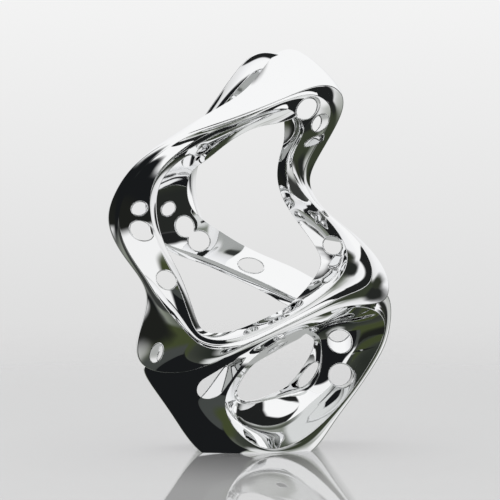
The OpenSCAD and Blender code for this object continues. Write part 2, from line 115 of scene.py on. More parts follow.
@dataclass(frozen=True)
class Rails:
    """The rails of one member: where its polished faces meet, station by station.

    Attributes:
        stations: Rail points of each station, in grid steps.
        closed: Whether the member runs back into its own start.
        swells: How far each face swells, or is hollow where negative.
    """

    stations: tuple
    closed: bool
    swells: tuple

    def controls(self, index: np.ndarray) -> np.ndarray:
        """Control rows of the smooth spline: a station less a sixth of its second difference.

        Args:
            index: Station numbers, which may run past an open member's ends.

        Returns:
            One row of rail points for each number.
        """
        rows = np.array(self.stations, float)
        count = len(rows)
        if self.closed:
            pick = lambda i: rows[i % count]
        else:
            before = [rows[0] * (1 - i) + rows[1] * i for i in range(-SPARE_STATIONS, 0)]
            after = [rows[-1] * (1 + i) - rows[-2] * i for i in range(1, SPARE_STATIONS + 1)]
            longer = np.concatenate([before, rows, after])
            pick = lambda i: longer[i + SPARE_STATIONS]
        here = pick(index)
        return here - (pick(index - 1) - 2 * here + pick(index + 1)) / 6

    def at(self, place: np.ndarray) -> np.ndarray:
        """Rail points at any places along the member.

        Four neighbouring control rows are mixed with the cubic B-spline weights.

        Args:
            place: Places along the member, in stations.

        Returns:
            Rail points in metres, one row for each place.
        """
        start = np.floor(place).astype(int)
        u = (place - start)[:, None, None]
        mixed = (
            (1 - u) ** 3 / 6 * self.controls(start - 1)
            + (3 * u ** 3 - 6 * u ** 2 + 4) / 6 * self.controls(start)
            + (-3 * u ** 3 + 3 * u ** 2 + 3 * u + 1) / 6 * self.controls(start + 1)
            + u ** 3 / 6 * self.controls(start + 2)
        )
        return placed(mixed)

    def faces_at(self, place: np.ndarray, share: np.ndarray) -> tuple[np.ndarray, np.ndarray]:
        """Points on every face, and their slope across the face.

        A point is the middle of the section plus the way from there to the straight line
        between two rails, times one plus the face's swell times a parabola over that line.

        Args:
            place: Places along the member.
            share: Shares of the way from each rail to the next, for each place and face.

        Returns:
            Points, and their derivatives by share, indexed by place, face and share.
        """
        rails = self.at(place)
        middle = rails.mean(axis=1)[:, None, None, :]
        first = rails[:, :, None, :]
        second = np.roll(rails, -1, axis=1)[:, :, None, :]
        s = share[..., None]
        swell = np.array(self.swells, float)[None, :, None, None]
        flat = first * (1 - s) + second * s
        lift = 1 + 4 * s * (1 - s) * swell
        points = middle + (flat - middle) * lift
        slope = (second - first) * lift + (flat - middle) * 4 * (1 - 2 * s) * swell
        return points, slope

    def edge_shares(self, place: np.ndarray) -> np.ndarray:
        """Share of each face that the rounding of its edges takes, for each place.

        Args:
            place: Places along the member.

        Returns:
            Shares indexed by place and face.
        """
        rails = self.at(place)
        width = np.linalg.norm(np.roll(rails, -1, axis=1) - rails, axis=-1)
        return np.minimum(EDGE_WIDTH / width / 2, LARGEST_EDGE_SHARE)

    def outline(self, place: np.ndarray) -> tuple[np.ndarray, np.ndarray]:
        """Closed outlines with rounded edges, and the normals on them.

        Args:
            place: Places along the member.

        Returns:
            Points and normals, indexed by place and by the way round.
        """
        cut = self.edge_shares(place)
        ramp = np.linspace(0.0, 1.0, POINTS_PER_FACE)
        share = cut[..., None] + (1 - 2 * cut[..., None]) * ramp
        points, slope = self.faces_at(place, share)
        ahead = self.faces_at(place + SLOPE_STEP, share)[0]
        behind = self.faces_at(place - SLOPE_STEP, share)[0]
        normals = unit(np.cross(ahead - behind, slope))
        corner = np.roll(self.at(place), -1, axis=1)[:, :, None, :]
        last, following = points[:, :, -1:, :], np.roll(points, -1, axis=1)[:, :, :1, :]
        turn = np.linspace(0.0, 1.0, POINTS_PER_EDGE + 2)[1:-1][None, None, :, None]
        rounding = (1 - turn) ** 2 * last + 2 * turn * (1 - turn) * corner + turn ** 2 * following
        leaning = unit(
            normals[:, :, -1:, :] * (1 - turn) + np.roll(normals, -1, axis=1)[:, :, :1, :] * turn
        )
        rows = len(place)
        return (
            np.concatenate([points, rounding], axis=2).reshape(rows, -1, 3),
            np.concatenate([normals, leaning], axis=2).reshape(rows, -1, 3),
        )


@dataclass
class Solid:
    """Arrays of a closed mesh: points, faces, each face's slot and each face corner's normal."""

    points: np.ndarray
    faces: list
    slots: np.ndarray
    normals: np.ndarray

    def object(self, name: str) -> bpy.types.Object:
        """Puts the arrays into a mesh object at the origin.

        Args:
            name: The object's name.

        Returns:
            The linked object.
        """
        mesh = bpy.data.meshes.new(name)
        mesh.from_pydata(self.points.tolist(), [], self.faces)
        mesh.update()
        mesh.polygons.foreach_set("material_index", self.slots.astype(np.int32))
        mesh.polygons.foreach_set("use_smooth", np.ones(len(mesh.polygons), bool))
        facing = mesh.attributes.new("facing", "FLOAT_VECTOR", "CORNER")
        facing.data.foreach_set("vector", self.normals.astype(np.float32).ravel())
        built = bpy.data.objects.new(name, mesh)
        bpy.context.scene.collection.objects.link(built)
        return built


def loft(rails: Rails, start: float, end: float) -> Solid:
    """A length of a member: rings of outline points joined by four-cornered faces, with flat ends.

    Args:
        rails: The member's rails.
        start: Station where the length starts.
        end: Station where it ends.

    Returns:
        The closed solid, its faces outwards.
    """
    rings = max(2, round((end - start) * RINGS_PER_STATION) + 1)
    points, normals = rails.outline(np.linspace(start, end, rings))
    count = points.shape[1]
    ring, way = np.meshgrid(np.arange(rings - 1), np.arange(count), indexing="ij")
    near, far = ring * count + way, ring * count + (way + 1) % count
    quads = np.stack([near, near + count, far + count, far], axis=-1).reshape(-1, 4)
    flat_normals = normals.reshape(-1, 3)
    corner_normals = flat_normals[quads].reshape(-1, 3)
    first = list(range(count))
    last = [(rings - 1) * count + i for i in range(count)][::-1]
    slots = np.concatenate([np.full(len(quads), FACE_SLOT), [BORE_SLOT, BORE_SLOT]])
    corner_normals = np.concatenate([corner_normals, np.zeros((2 * count, 3))])
    return Solid(points.reshape(-1, 3), quads.tolist() + [first, last], slots, corner_normals)


def prism(
    outline: np.ndarray, low: float, high: float, frame_matrix: np.ndarray, slot: int = BORE_SLOT
) -> Solid:
    """A straight prism over an outline, turned and moved by a matrix.

    Args:
        outline: Points of the outline, anticlockwise, in metres.
        low: Height of the lower end.
        high: Height of the upper end.
        frame_matrix: Four by four matrix that puts the prism in place.
        slot: Slot of its faces.

    Returns:
        The closed solid.
    """
    count = len(outline)
    lower = np.column_stack([outline, np.full(count, low), np.ones(count)])
    upper = np.column_stack([outline, np.full(count, high), np.ones(count)])
    points = (np.concatenate([lower, upper]) @ frame_matrix.T)[:, :3]
    way = np.arange(count)
    after = (way + 1) % count
    quads = np.column_stack([way, after, after + count, way + count])
    faces = quads.tolist() + [list(range(count))[::-1], list(range(count, 2 * count))]
    corners = 4 * count + 2 * count
    return Solid(points, faces, np.full(len(faces), slot), np.zeros((corners, 3)))


def slots_of(mesh: bpy.types.Mesh) -> tuple[np.ndarray, np.ndarray, np.ndarray]:
    """Slots of the faces round each face corner and beside each edge.

    Args:
        mesh: The mesh to read.

    Returns:
        Each corner's slot, and the lowest and highest slot of the faces beside each edge.
    """
    slots = np.zeros(len(mesh.polygons), np.int32)
    mesh.polygons.foreach_get("material_index", slots)
    sizes = np.zeros(len(mesh.polygons), np.int32)
    mesh.polygons.foreach_get("loop_total", sizes)
    edge_of_corner = np.zeros(len(mesh.loops), np.int32)
    mesh.loops.foreach_get("edge_index", edge_of_corner)
    corner_slots = np.repeat(slots, sizes)
    low = np.full(len(mesh.edges), len(SLOTS), np.int32)
    high = np.zeros(len(mesh.edges), np.int32)
    np.minimum.at(low, edge_of_corner, corner_slots)
    np.maximum.at(high, edge_of_corner, corner_slots)
    return corner_slots, low, high


def closed_loops(edges: np.ndarray) -> list[list[int]]:
    """Joins edges end to end into closed loops.

    Args:
        edges: Pairs of vertex numbers.

    Returns:
        The vertex numbers of each closed loop, in order.
    """
    beside: dict[int, list[int]] = {}
    for first, second in edges.tolist():
        beside.setdefault(first, []).append(second)
        beside.setdefault(second, []).append(first)
    loops, used = [], set()
    for start in sorted(beside):
        if start in used or len(beside[start]) != 2:
            continue
        loop, last, here = [start], start, beside[start][0]
        while here != start and here not in used and len(beside[here]) == 2:
            loop.append(here)
            used.add(here)
            ahead = [other for other in beside[here] if other != last]
            last, here = here, ahead[0] if ahead else start
        used.add(start)
        if here == start and len(loop) > LARGEST_SLIVER:
            loops.append(loop)
    return loops


def rim(path: np.ndarray) -> tuple[np.ndarray, list]:
    """A thin rounded lip along a closed path.

    The path is spaced evenly, smoothed over its neighbours and given a round section, which
    leans away from the path's middle.

    Args:
        path: Points of the closed path.

    Returns:
        The lip's points and faces.
    """
    closed = np.concatenate([path, path[:1]])
    along = np.concatenate([[0.0], np.cumsum(np.linalg.norm(np.diff(closed, axis=0), axis=1))])
    count = max(FEWEST_RIM_STEPS, round(along[-1] / RIM_STEP))
    places = np.arange(count) / count * along[-1]
    line = np.column_stack([np.interp(places, along, closed[:, axis]) for axis in range(3)])
    for _ in range(RIM_SMOOTHINGS):
        line = (np.roll(line, 1, axis=0) + 2 * line + np.roll(line, -1, axis=0)) / 4
    tangent = unit(np.roll(line, -1, axis=0) - np.roll(line, 1, axis=0))
    outward = line - line.mean(axis=0)
    outward = unit(outward - (outward * tangent).sum(axis=1, keepdims=True) * tangent)
    upward = np.cross(tangent, outward)
    angle = (np.arange(RIM_SIDES) / RIM_SIDES * math.tau)[None, :, None]
    ring = line[:, None, :] + RIM_RADIUS * (
        np.cos(angle) * outward[:, None, :] + np.sin(angle) * upward[:, None, :]
    )
    station, way = np.meshgrid(np.arange(count), np.arange(RIM_SIDES), indexing="ij")
    near, far = station * RIM_SIDES, (station + 1) % count * RIM_SIDES
    after = (way + 1) % RIM_SIDES
    quads = np.stack([near + way, far + way, far + after, near + after], axis=-1)
    return ring.reshape(-1, 3), quads.reshape(-1, 4).tolist()


def turned(axis: str, degrees: float) -> np.ndarray:
    """Four by four matrix of a turn about one axis."""
    return np.array(Matrix.Rotation(math.radians(degrees), 4, axis))


def moved(place: Sequence[float]) -> np.ndarray:
    """Four by four matrix of a move."""
    return np.array(Matrix.Translation(Vector(place)))


@dataclass(frozen=True)
class Bore:
    """A straight round or oval hole.

    Attributes:
        at: Middle of the hole, in grid steps.
        width: Width of the outline in millimetres.
        height_share: Height of the outline as a share of its width.
        turn: Turn of the outline in degrees.
        swing: Turn of the axis about the upright.
        rise: How far the axis' far end rises.
        reach: Length of the bore as a share of the sculpture's depth.
    """

    at: tuple
    width: float
    height_share: float
    turn: float
    swing: float
    rise: float
    reach: float

    def outline(self) -> np.ndarray:
        """An ellipse: cosine and sine of the angle round it, times half the width and height.

        Returns:
            Its points in metres, anticlockwise.
        """
        angle = np.arange(BORE_SIDES) / BORE_SIDES * math.tau
        half = self.width * MM / 2
        return np.column_stack([np.cos(angle) * half, np.sin(angle) * half * self.height_share])

    def solid(self) -> Solid:
        """The cutter of the hole.

        Returns:
            A prism over the outline, laid along the bore's axis.
        """
        matrix = (
            moved(placed(np.array(self.at))) @ turned("Z", self.swing) @ turned("X", self.rise)
            @ turned("X", -90) @ turned("Z", self.turn)
        )
        half = self.reach * SCULPTURE[1] / 2
        return prism(self.outline(), -half, half, matrix, HOLE_SLOT)


@dataclass(frozen=True)
class DropBore(Bore):
    """A drop-shaped hole: its width is the round end's, and a narrow end lies along its turn.

    Attributes:
        tip: Width of the narrow end in millimetres.
        pitch: Distance between the middles of its two ends in millimetres.
    """

    tip: float = 5.0
    pitch: float = 46.0

    def outline(self) -> np.ndarray:
        """Two arcs, about the round end's middle and the narrow end's, joined by their tangents.

        Returns:
            Its points in metres, anticlockwise.
        """
        large, small = self.width * MM / 2, self.tip * MM / 2
        away = math.acos((large - small) / (self.pitch * MM))
        round_end = np.linspace(away, math.tau - away, DROP_SIDES[0])
        narrow_end = np.linspace(-away, away, DROP_SIDES[1])
        first = np.column_stack([np.cos(round_end), np.sin(round_end)]) * large
        second = np.column_stack([np.cos(narrow_end), np.sin(narrow_end)]) * small
        return np.concatenate([first, second + [self.pitch * MM, 0.0]])


@dataclass(frozen=True)
class Length:
    """A length of a member between two stations.

    Attributes:
        rails: The member's rails.
        start: Station where it starts.
        end: Station where it ends.
    """

    rails: Rails
    start: float
    end: float

    def solid(self) -> Solid:
        """The lofted length."""
        return loft(self.rails, self.start, self.end)


@dataclass(frozen=True)
class Pin:
    """A locating dowel's bore across a seam of a member.

    Attributes:
        rails: The member's rails.
        station: Station of the seam.
        diameter: The bore's diameter in millimetres.
        length: Its length in millimetres.
    """

    rails: Rails
    station: float
    diameter: float = 4.2
    length: float = 22.0

    def solid(self) -> Solid:
        """The cutter of the dowel's bore.

        Returns:
            A round prism along the member, through the middle of its section at the seam.
        """
        ends = self.rails.at(self.station + np.array([-PIN_LEAN, PIN_LEAN])).mean(axis=1)
        middle = self.rails.at(np.array([self.station])).mean(axis=1)[0]
        upright = Vector((0, 0, 1)).rotation_difference(Vector(ends[1] - ends[0]))
        angle = np.arange(PIN_SIDES) / PIN_SIDES * math.tau
        ring = np.column_stack([np.cos(angle), np.sin(angle)]) * self.diameter * MM / 2
        half = self.length * MM / 2
        return prism(ring, -half, half, moved(middle) @ np.array(upright.to_matrix().to_4x4()))


@dataclass(frozen=True)
class Disc:
    """A round recess in the foot, from a height down past the resting face.

    Attributes:
        diameter: Its diameter in millimetres.
        top: Height of its upper end in millimetres.
        at: Its middle, to the right and to the back, in millimetres.
    """

    diameter: float
    top: float
    at: tuple = (0.0, 0.0)

    def solid(self) -> Solid:
        """The cutter of the recess.

        Returns:
            An upright round prism, from a millimetre under the resting face to the recess's top.
        """
        angle = np.arange(DISC_SIDES) / DISC_SIDES * math.tau
        ring = np.column_stack([np.cos(angle), np.sin(angle)]) * self.diameter * MM / 2
        place = (self.at[0] * MM, self.at[1] * MM, 0.0)
        return prism(ring, -MM, self.top * MM, moved(place))


@dataclass(frozen=True)
class Ground:
    """Everything below the resting face, which cuts the foot flat.

    Attributes:
        reach: Width of the block in millimetres.
    """

    reach: float = 400.0

    def solid(self) -> Solid:
        """The cutter that leaves the foot flat.

        Returns:
            A square block under the resting face.
        """
        half = self.reach * MM / 2
        square = np.array([(-half, -half), (half, -half), (half, half), (-half, half)])
        return prism(square, -half, 0.0, np.eye(4))


@dataclass
class Section:
    """One formed and polished section of a member, which stands for one CAD node.

    Attributes:
        node: Name of the CAD node that it replaces.
        length: The length of the member that it is.
        cuts: Everything taken out of it.
    """

    node: str
    length: Length
    cuts: list = field(default_factory=list)

    def build(self) -> bpy.types.Object:
        """Lofts the section and takes its cuts out of it.

        Returns:
            The finished object, without materials.
        """
        piece = self.length.solid().object(self.node + "_polished")
        for _ in SLOTS:
            piece.data.materials.append(None)
        cutters = []
        for number, cut in enumerate(self.cuts):
            taken = cut.solid()
            # A member that is cut out of another leaves a seam there, not a polished face
            taken.slots = np.maximum(taken.slots, BORE_SLOT)
            cutter = taken.object("cutter_%d" % number)
            for _ in SLOTS:
                cutter.data.materials.append(None)
            cutters.append(cutter)
            modifier = piece.modifiers.new("cut_%d" % number, "BOOLEAN")
            modifier.operation = "DIFFERENCE"
            modifier.solver = "EXACT"
            modifier.object = cutter
        if cutters:
            graph = bpy.context.evaluated_depsgraph_get()
            result = bpy.data.meshes.new_from_object(piece.evaluated_get(graph))
            old = piece.data
            piece.modifiers.clear()
            piece.data = result
            bpy.data.meshes.remove(old)
            for cutter in cutters:
                bpy.data.meshes.remove(cutter.data)
        piece.data.name = piece.name
        self.add_rims(piece.data)
        self.shade(piece.data)
        return piece

    @staticmethod
    def add_rims(mesh: bpy.types.Mesh) -> None:
        """Lays a thin rounded lip along the rims of the holes.

        Args:
            mesh: The cut mesh.
        """
        _, low, high = slots_of(mesh)
        ends = np.zeros(len(mesh.edges) * 2, np.int32)
        mesh.edges.foreach_get("vertices", ends)
        rims = ends.reshape(-1, 2)[(low == FACE_SLOT) & (high == HOLE_SLOT)]
        places = np.zeros(len(mesh.vertices) * 3)
        mesh.vertices.foreach_get("co", places)
        places = places.reshape(-1, 3)
        shape = bmesh.new()
        shape.from_mesh(mesh)
        for loop in closed_loops(rims):
            points, faces = rim(places[loop])
            added = [shape.verts.new(point) for point in points]
            for corners in faces:
                face = shape.faces.new([added[i] for i in corners])
                face.material_index, face.smooth = HOLE_SLOT, True
        shape.to_mesh(mesh)
        shape.free()

    @staticmethod
    def shade(mesh: bpy.types.Mesh) -> None:
        """Gives the polished faces the loft's own normals and keeps the rims of holes crisp.

        Args:
            mesh: The cut mesh, with its corner attribute of wanted normals.
        """
        normals = np.zeros(len(mesh.loops) * 3, np.float32)
        mesh.attributes["facing"].data.foreach_get("vector", normals)
        normals = normals.reshape(-1, 3)
        corner_slots, low, high = slots_of(mesh)
        mesh.set_sharp_from_angle(angle=SHARP_ANGLE)
        sharp = np.zeros(len(mesh.edges), bool)
        mesh.attributes["sharp_edge"].data.foreach_get("value", sharp)
        sharp = np.where(low == high, sharp & (high != FACE_SLOT), True)
        mesh.attributes["sharp_edge"].data.foreach_set("value", sharp)
        wanted = np.linalg.norm(normals, axis=1, keepdims=True) > 0.5
        keep = (corner_slots == FACE_SLOT)[:, None] & wanted
        normals = np.where(keep, unit(normals), 0.0)
        mesh.attributes.remove(mesh.attributes["facing"])
        mesh.normals_split_custom_set(normals.tolist())
        mesh.update()


# Rail points of each member's stations, in grid steps to the right, to the back and up.
# The loop's are its outer front, ridge, inner front, inner back and outer back rails.
LOOP_STATIONS = (
    ((88, 4, 337), (76, -3, 331), (48, -18, 317), (29, 6, 310), (77, 34, 342)),
    ((83, 0, 359), (69, -7, 350), (45, -17, 329), (28, 6, 329), (65, 36, 376)),
    ((63, -4, 364), (51, -9, 355), (33, -13, 341), (26, 4, 337), (48, 34, 395)),
    ((31, -8, 352), (24, -11, 347), (13, -10, 338), (11, 2, 334), (21, 30, 397)),
    ((-3, -14, 339), (-7, -17, 335), (-13, -15, 329), (-14, -6, 324), (-5, 14, 362)),
    ((-38, -24, 327), (-38, -26, 325), (-39, -23, 320), (-38, -16, 312), (-41, -2, 340)),
    ((-77, -32, 314), (-73, -36, 312), (-66, -38, 306), (-61, -28, 299), (-80, -12, 316)),
    ((-117, -30, 289), (-106, -39, 288), (-89, -54, 288), (-84, -40, 282), (-113, -18, 291)),
    ((-138, -24, 259), (-127, -35, 261), (-101, -60, 266), (-95, -48, 262), (-133, -12, 258)),
    ((-146, -20, 231), (-135, -32, 233), (-102, -62, 241), (-96, -50, 238), (-140, -8, 230)),
    ((-134, -24, 201), (-127, -35, 203), (-95, -62, 211), (-89, -50, 210), (-129, -12, 200)),
    ((-114, -34, 175), (-108, -46, 177), (-80, -60, 180), (-74, -47, 181), (-109, -20, 172)),
    ((-106, -36, 151), (-92, -56, 152), (-68, -58, 151), (-63, -44, 152), (-103, -18, 146)),
    ((-115, -30, 118), (-71, -61, 128), (-59, -56, 127), (-55, -40, 129), (-109, -8, 115)),
    ((-112, -34, 86), (-57, -62, 114), (-47, -57, 118), (-47, -38, 122), (-99, -6, 99)),
    ((-65, -48, 83), (-38, -62, 107), (-30, -58, 116), (-33, -36, 121), (-63, -8, 97)),
    ((-25, -54, 102), (-13, -62, 111), (-9, -59, 121), (-15, -36, 125), (-27, -12, 112)),
    ((15, -56, 119), (17, -60, 124), (20, -58, 133), (9, -34, 135), (7, -12, 125)),
    ((55, -56, 136), (53, -59, 142), (51, -57, 150), (34, -32, 148), (37, -10, 139)),
    ((94, -50, 150), (87, -55, 159), (78, -54, 171), (54, -28, 169), (61, -2, 151)),
    ((129, -30, 150), (113, -43, 169), (90, -50, 190), (64, -22, 185), (85, 14, 158)),
    ((131, -14, 178), (114, -31, 192), (88, -44, 210), (63, -14, 198), (100, 26, 185)),
    ((106, -4, 211), (94, -20, 220), (74, -36, 231), (49, -6, 219), (83, 28, 215)),
    ((72, 0, 238), (62, -13, 246), (49, -28, 257), (32, 2, 242), (57, 28, 241)),
    ((55, 4, 266), (49, -8, 271), (38, -22, 278), (22, 6, 268), (45, 30, 266)),
    ((64, 6, 293), (55, -4, 295), (38, -19, 298), (24, 8, 292), (54, 32, 293)),
)
# The inner ribbon's are its upper front, lower front, lower back and upper back rails.
INNER_STATIONS = (
    ((52, -8, 346), (50, -10, 338), (46, 4, 337), (48, 10, 350)),
    ((26, -10, 339), (28, -8, 327), (25, 14, 328), (24, 20, 347)),
    ((-6, -12, 329), (-1, -6, 322), (-4, 14, 323), (-9, 20, 341)),
    ((-35, -20, 317), (-28, -8, 306), (-32, 12, 308), (-42, 12, 331)),
    ((-62, -33, 304), (-49, -14, 289), (-54, 6, 292), (-71, -14, 308)),
    ((-90, -44, 287), (-62, -16, 280), (-68, 2, 283), (-96, -32, 288)),
    ((-105, -48, 264), (-67, -14, 263), (-72, 1, 263), (-107, -36, 264)),
    ((-108, -47, 240), (-64, -10, 245), (-68, 4, 242), (-108, -35, 238)),
    ((-103, -43, 219), (-53, 0, 231), (-56, 13, 226), (-101, -31, 215)),
    ((-80, -32, 205), (-35, 12, 218), (-38, 25, 213), (-80, -20, 197)),
    ((-49, -14, 193), (-13, 26, 203), (-16, 38, 199), (-52, -4, 186)),
    ((-15, 0, 177), (14, 38, 189), (11, 49, 184), (-21, 10, 170)),
    ((22, 8, 160), (44, 38, 177), (40, 49, 172), (13, 16, 154)),
    ((57, -4, 146), (71, 22, 164), (66, 34, 158), (46, 4, 138)),
    ((89, -26, 162), (97, -18, 176), (93, -10, 170), (83, -16, 157)),
)
# The rear leg's are its left front, right front, right back and left back rails.
LEG_STATIONS = (
    ((45, 24, 387), (47, 12, 372), (50, 12, 364), (48, 24, 379)),
    ((7, 30, 397), (8, 24, 381), (21, 36, 360), (9, 50, 391)),
    ((-16, 30, 380), (-9, 24, 368), (7, 42, 341), (-12, 56, 374)),
    ((-36, 34, 353), (-27, 28, 349), (-9, 50, 326), (-32, 62, 348)),
    ((-52, 40, 330), (-43, 34, 327), (-30, 58, 315), (-48, 66, 324)),
    ((-67, 42, 302), (-57, 36, 300), (-51, 58, 296), (-63, 66, 297)),
    ((-77, 38, 274), (-64, 32, 271), (-60, 52, 267), (-73, 62, 269)),
    ((-73, 26, 247), (-61, 22, 244), (-57, 38, 241), (-69, 46, 242)),
    ((-63, 2, 229), (-51, 4, 223), (-49, 14, 221), (-61, 13, 227)),
)
# The ring's are its outer front, outer back, throat back, throat front and crease rails.
RING_STATIONS = (
    ((83, -46, 150), (77, 20, 137), (50, 6, 115), (55, -4, 118), (71, -44, 131)),
    ((108, -34, 160), (95, 30, 156), (57, 10, 110), (64, -2, 112), (93, -44, 147)),
    ((134, -20, 157), (125, 40, 152), (59, 16, 105), (66, 0, 102), (123, -36, 141)),
    ((133, -20, 117), (127, 48, 109), (56, 17, 94), (67, 0, 91), (129, -30, 120)),
    ((121, -20, 90), (115, 50, 81), (48, 17, 80), (65, 0, 77), (116, -30, 92)),
    ((100, -20, 58), (95, 52, 48), (37, 15, 66), (56, 1, 60), (94, -30, 58)),
    ((76, -20, 26), (72, 50, 18), (26, 12, 58), (37, 3, 53), (67, -30, 29)),
    ((52, -22, -5), (49, 46, -11), (14, 10, 53), (16, 2, 50), (41, -32, 10)),
    ((7, -42, -9), (9, 44, -17), (0, 8, 48), (1, 0, 46), (13, -38, 4)),
    ((-47, -34, -7), (-41, 38, -13), (-11, 6, 48), (-12, -2, 45), (-12, -42, 18)),
    ((-80, -26, 35), (-70, 30, 32), (-16, 5, 52), (-19, -3, 49), (-26, -45, 37)),
    ((-100, -26, 63), (-89, 22, 59), (-17, 5, 59), (-20, -4, 58), (-29, -47, 56)),
    ((-111, -27, 88), (-99, 12, 84), (-12, 5, 69), (-14, -4, 70), (-20, -49, 75)),
    ((-71, -40, 87), (-65, 6, 87), (-1, 5, 84), (-3, -4, 86), (-6, -51, 92)),
    ((-25, -48, 105), (-23, 2, 107), (15, 5, 93), (13, -4, 95), (7, -53, 104)),
    ((15, -50, 122), (13, 2, 119), (31, 5, 103), (30, -4, 105), (26, -54, 117)),
    ((53, -50, 138), (47, 6, 132), (46, 5, 110), (46, -4, 112), (50, -54, 127)),
)

LOOP = Rails(LOOP_STATIONS, True, (-0.1, -0.15, -0.2, -0.3, 0.15))
INNER = Rails(INNER_STATIONS, False, (-0.1, -0.1, -0.2, -0.1))
LEG = Rails(LEG_STATIONS, False, (-0.1, -0.2, -0.1, 0.2))
RING = Rails(RING_STATIONS, True, (0.1, -0.3, -0.1, -0.35, -0.1))


@dataclass
class Loop:
    """The closed ribbon loop: crown, arm, lobe, column, elbow, crossbar, shoulder and S strut.

    Its fields are the widths of its holes in millimetres.
    """

    lobe_widths: tuple = (22.0, 33.0)
    column_width: float = 28.0
    elbow_width: float = 27.0
    crown_widths: tuple = (35.0, 27.0, 22.0)
    strut_width: float = 25.0
    bar_width: float = 20.0

    def sections(self) -> list[Section]:
        """The loop's nine sections, each with its holes and its dowels' bores.

        Returns:
            The sections, from the crown round to the S strut.
        """
        lobe = [
            Bore((-114, -51, 245), self.lobe_widths[0], 0.8, -10, 0, -5, 1),
            Bore((-112, -50, 223), self.lobe_widths[1], 0.72, 25, 0, -5, 1),
        ]
        column = [Bore((-87, -56, 175), self.column_width, 0.8, 35, 4, -5, 1)]
        elbow = [Bore((-98, -42, 101), self.elbow_width, 0.6, -62, -14, -5, 1)]
        crown = [
            Bore((53, -14, 342), self.crown_widths[0], 0.68, -42, 4, -5, 1),
            Bore((65, -8, 327), self.crown_widths[1], 0.7, -42, 12, -5, 1),
            Bore((60, -5, 309), self.crown_widths[2], 0.5, -10, -20, 20, 0.15),
        ]
        shoulder = [
            Bore((73, -37, 177), self.strut_width, 0.55, -50, -45, -10, 0.25),
            Bore((77, -33, 192), self.strut_width, 0.6, -45, -45, -10, 0.25),
            Bore((77, -33, 207), self.strut_width, 0.9, 40, 0, -5, 1),
        ]
        strut = [Bore((61, -24, 233), self.bar_width, 0.55, -50, -45, 10, 0.2)]
        bar = [
            Bore((-4, -50, 125), self.bar_width, 1, 0, 0, -70, 0.4),
            Bore((21, -50, 136), self.bar_width, 0.9, 0, 15, -70, 0.4),
            Bore((38, -41, 148), self.bar_width, 0.9, 0, 40, -55, 0.4),
        ]
        rows = [
            ("crown", -1, 4, crown), ("front_arm", 4, 7, []), ("left_lobe", 7, 10.25, lobe),
            ("left_column", 10.25, 12.5, column), ("lower_elbow", 12.5, 15.5, elbow),
            ("crossbar", 15.5, 18.75, bar), ("right_shoulder", 18.75, 21.75, shoulder),
            ("s_strut_lower", 21.75, 23.5, strut), ("s_strut_upper", 23.5, 25, []),
        ]
        return [
            Section(node, Length(LOOP, start, end), bores + [Pin(LOOP, start), Pin(LOOP, end)])
            for node, start, end, bores in rows
        ]


@dataclass
class InnerRibbon:
    """The inner ribbon, from the crown behind the arm and on into the back band.

    Its fields are the widths of its holes in millimetres.
    """

    arm_width: float = 19.0
    lobe_widths: tuple = (20.0, 28.0, 28.0)
    band_width: float = 34.0

    def sections(self) -> list[Section]:
        """The ribbon's three sections, let into the loop where they meet it.

        Returns:
            The sections, from the crown down.
        """
        arm = [
            Bore((-52, -19, 302), self.arm_width, 0.6, -35, -20, 10, 0.12),
            Bore((-66, -19, 290), self.arm_width, 0.75, -35, 0, -5, 1),
        ]
        lobe = [
            Bore((-86, -29, 243), self.lobe_widths[0], 0.8, -50, 0, -5, 1),
            Bore((-70, -11, 224), self.lobe_widths[1], 0.85, 70, 0, -5, 1),
            Bore((-56, -4, 209), self.lobe_widths[2], 0.95, 0, 0, -5, 1),
        ]
        band = [Bore((-4, 23, 182), self.band_width, 0.56, 12, 0, -5, 1)]
        return [
            Section("inner_arm", Length(INNER, 0, 6), [Length(LOOP, 0, 8), *arm, Pin(INNER, 6)]),
            Section(
                "inner_lobe", Length(INNER, 6, 9.75),
                [Length(LOOP, 7, 10), *lobe, Pin(INNER, 6), Pin(INNER, 9.75)],
            ),
            Section(
                "back_band", Length(INNER, 9.75, 14), [Length(LOOP, 18, 21), *band, Pin(INNER, 9.75)],
            ),
        ]


@dataclass
class RearLeg:
    """The leg that comes down behind the arm from the crown to the inner ribbon.

    Attributes:
        parting: Station of the seam between its two sections.
    """

    parting: float = 4.0

    def sections(self) -> list[Section]:
        """The leg's two sections.

        Returns:
            The upper and the lower section.
        """
        seam = Pin(LEG, self.parting)
        return [
            Section("rear_leg_upper", Length(LEG, 0, self.parting), [Length(LOOP, 1, 4), seam]),
            Section("rear_leg_lower", Length(LEG, self.parting, 8), [Length(INNER, 7, 9), seam]),
        ]


